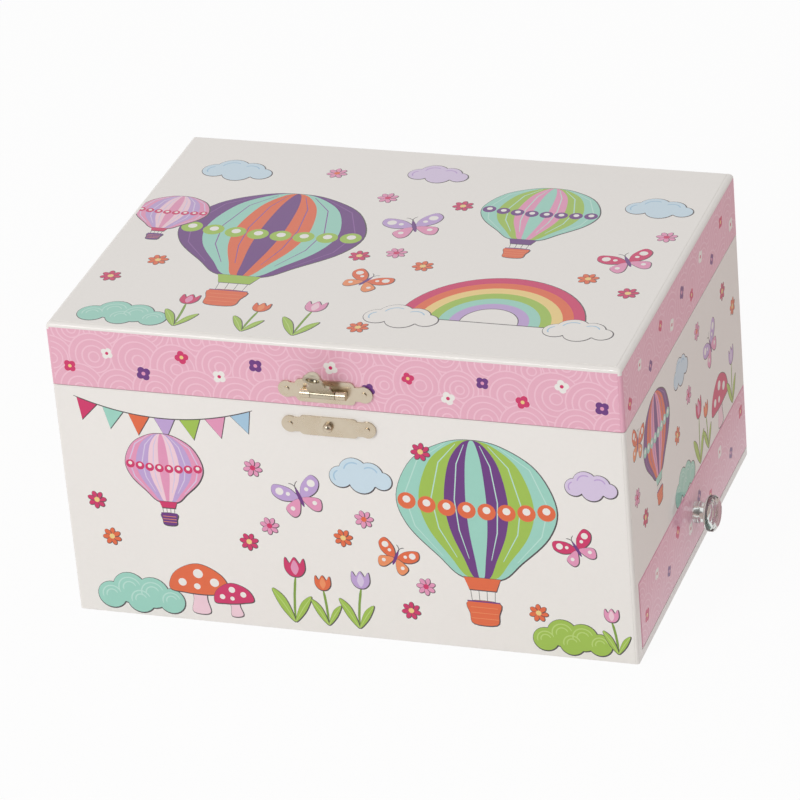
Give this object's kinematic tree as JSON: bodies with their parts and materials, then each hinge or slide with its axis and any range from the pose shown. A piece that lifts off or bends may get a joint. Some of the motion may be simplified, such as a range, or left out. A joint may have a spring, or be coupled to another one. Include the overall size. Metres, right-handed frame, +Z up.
{
  "type": "musical jewellery box",
  "caption": "Rectangular musical jewellery box: hinged lid, front clasp, side drawer with a clear knob, mirror, lined tray and a key-wound movement that turns a dancer on a spring.",
  "frame": {"origin": "middle of the case's footprint, on the surface it stands on", "axes": "+Z up, +X to the side where the drawer opens, +Y to the hinged back; the clasp is on the -Y face"},
  "size_m": [0.2086, 0.1759, 0.1114],
  "materials": {
    "white_paper": "gloss laminated print on board",
    "pink_paper": "gloss laminated print on board",
    "drawer_paper": "plain matt paper on board",
    "board": "bare board",
    "flock": "flocked cloth",
    "nickel": "warm pale nickel plate, bright",
    "acrylic": "clear polished",
    "mirror": "silvered glass",
    "frame_plastic": "moulded, satin",
    "steel": "bright steel",
    "brass": "lacquered brass",
    "bed_metal": "die-cast zinc",
    "nylon": "moulded nylon",
    "doll": "painted moulding",
    "tulle": "gathered net"
  },
  "bodies": {
    "case": {"base_board": "white_paper", "front_panel": "white_paper", "back_panel": "white_paper", "left_panel": "white_paper", "right_panel": "white_paper", "bay_wall": "board", "compartment_floor": "board", "compartment_lining": "flock", "ring_divider": "flock", "cross_divider": "flock", "ring_rolls": "flock", "keeper_plate": "nickel", "keeper_stud": "nickel", "keeper_nails": "nickel", "hinge_nails_case": "nickel", "hinge_case_leaves": "nickel", "hinge_pins": "nickel", "movement_bed": "bed_metal", "movement_screws": "steel", "steel_comb": "steel", "comb_screws": "steel", "stop_rod_guide": "nickel", "movement_cover": "flock", "spindle_bush": "brass"},
    "lid": {"lid_top": "white_paper", "lid_front_rail": "pink_paper", "lid_back_rail": "pink_paper", "lid_left_rail": "pink_paper", "lid_right_rail": "pink_paper", "lid_lining": "flock", "lid_mirror": "mirror", "mirror_frame": "frame_plastic", "hinge_lid_leaves": "nickel", "hinge_nails_lid": "nickel", "clasp_plate": "nickel", "clasp_pin": "nickel", "clasp_nails": "nickel"},
    "hasp": {"clasp_flap": "nickel"},
    "drawer": {"drawer_front": "pink_paper", "drawer_bottom": "drawer_paper", "drawer_sides": "drawer_paper", "drawer_rear": "drawer_paper", "drawer_lining": "flock", "drawer_knob": "acrylic", "knob_screw": "steel"},
    "barrel": {"spring_barrel": "brass", "mainspring": "steel"},
    "key": {"winding_arbor": "steel", "winding_key": "brass"},
    "cylinder": {"pinned_cylinder": "brass", "cylinder_arbor": "steel", "cylinder_pinion": "brass", "cylinder_gear": "nylon"},
    "governor": {"governor_wheel": "nylon"},
    "fan": {"fan_worm": "nylon"},
    "dancer": {"dancer_spindle": "brass", "dancer_spring": "steel", "ballerina_figure": "doll", "tutu": "tulle"},
    "stop": {"stop_rod": "steel"}
  },
  "joints": [
    {"name": "lid_hinge", "type": "hinge", "parent": "case", "child": "lid", "pos_m": [0, 0.0747, 0.08815], "axis": [-1, 0, 0], "range_deg": [0, 100]},
    {"name": "hasp_hinge", "type": "hinge", "parent": "lid", "child": "hasp", "pos_m": [-0.002, -0.0755, 0.0943], "axis": [-1, 0, 0], "range_deg": [-140, 30]},
    {"name": "drawer_slide", "type": "slide", "parent": "case", "child": "drawer", "axis": [1, 0, 0], "range_m": [0, 0.1]},
    {"name": "key_wind", "type": "hinge", "parent": "case", "child": "key", "pos_m": [-0.0793, 0.073, 0.0182], "axis": [0, 1, 0], "continuous": true},
    {"name": "barrel_spin", "type": "hinge", "parent": "case", "child": "barrel", "pos_m": [-0.0793, 0.0497, 0.0182], "axis": [0, 1, 0], "continuous": true},
    {"name": "cylinder_spin", "type": "hinge", "parent": "case", "child": "cylinder", "pos_m": [-0.0643, 0.02138, 0.0182], "axis": [0, 1, 0], "continuous": true},
    {"name": "governor_spin", "type": "hinge", "parent": "case", "child": "governor", "pos_m": [-0.0543, 0.01978, 0.0182], "axis": [0, 1, 0], "continuous": true},
    {"name": "fan_spin", "type": "hinge", "parent": "case", "child": "fan", "pos_m": [-0.0479, 0.01868, 0.0182], "axis": [0, 0, 1], "continuous": true},
    {"name": "dancer_spin", "type": "hinge", "parent": "case", "child": "dancer", "pos_m": [-0.0793, 0.04398, 0.0422], "axis": [0, 0, 1], "continuous": true},
    {"name": "stop_lift", "type": "slide", "parent": "case", "child": "stop", "axis": [0, 0, 1], "range_m": [0, 0.00401]}
  ],
  "couplings": [
    {"joint": "cylinder_spin", "follows": "barrel_spin", "ratio": -4},
    {"joint": "governor_spin", "follows": "barrel_spin", "ratio": 16},
    {"joint": "fan_spin", "follows": "barrel_spin", "ratio": 128},
    {"joint": "dancer_spin", "follows": "barrel_spin", "ratio": -2.8},
    {"joint": "stop_lift", "follows": "lid_hinge", "m_per_rad": 0.0022918}
  ]
}
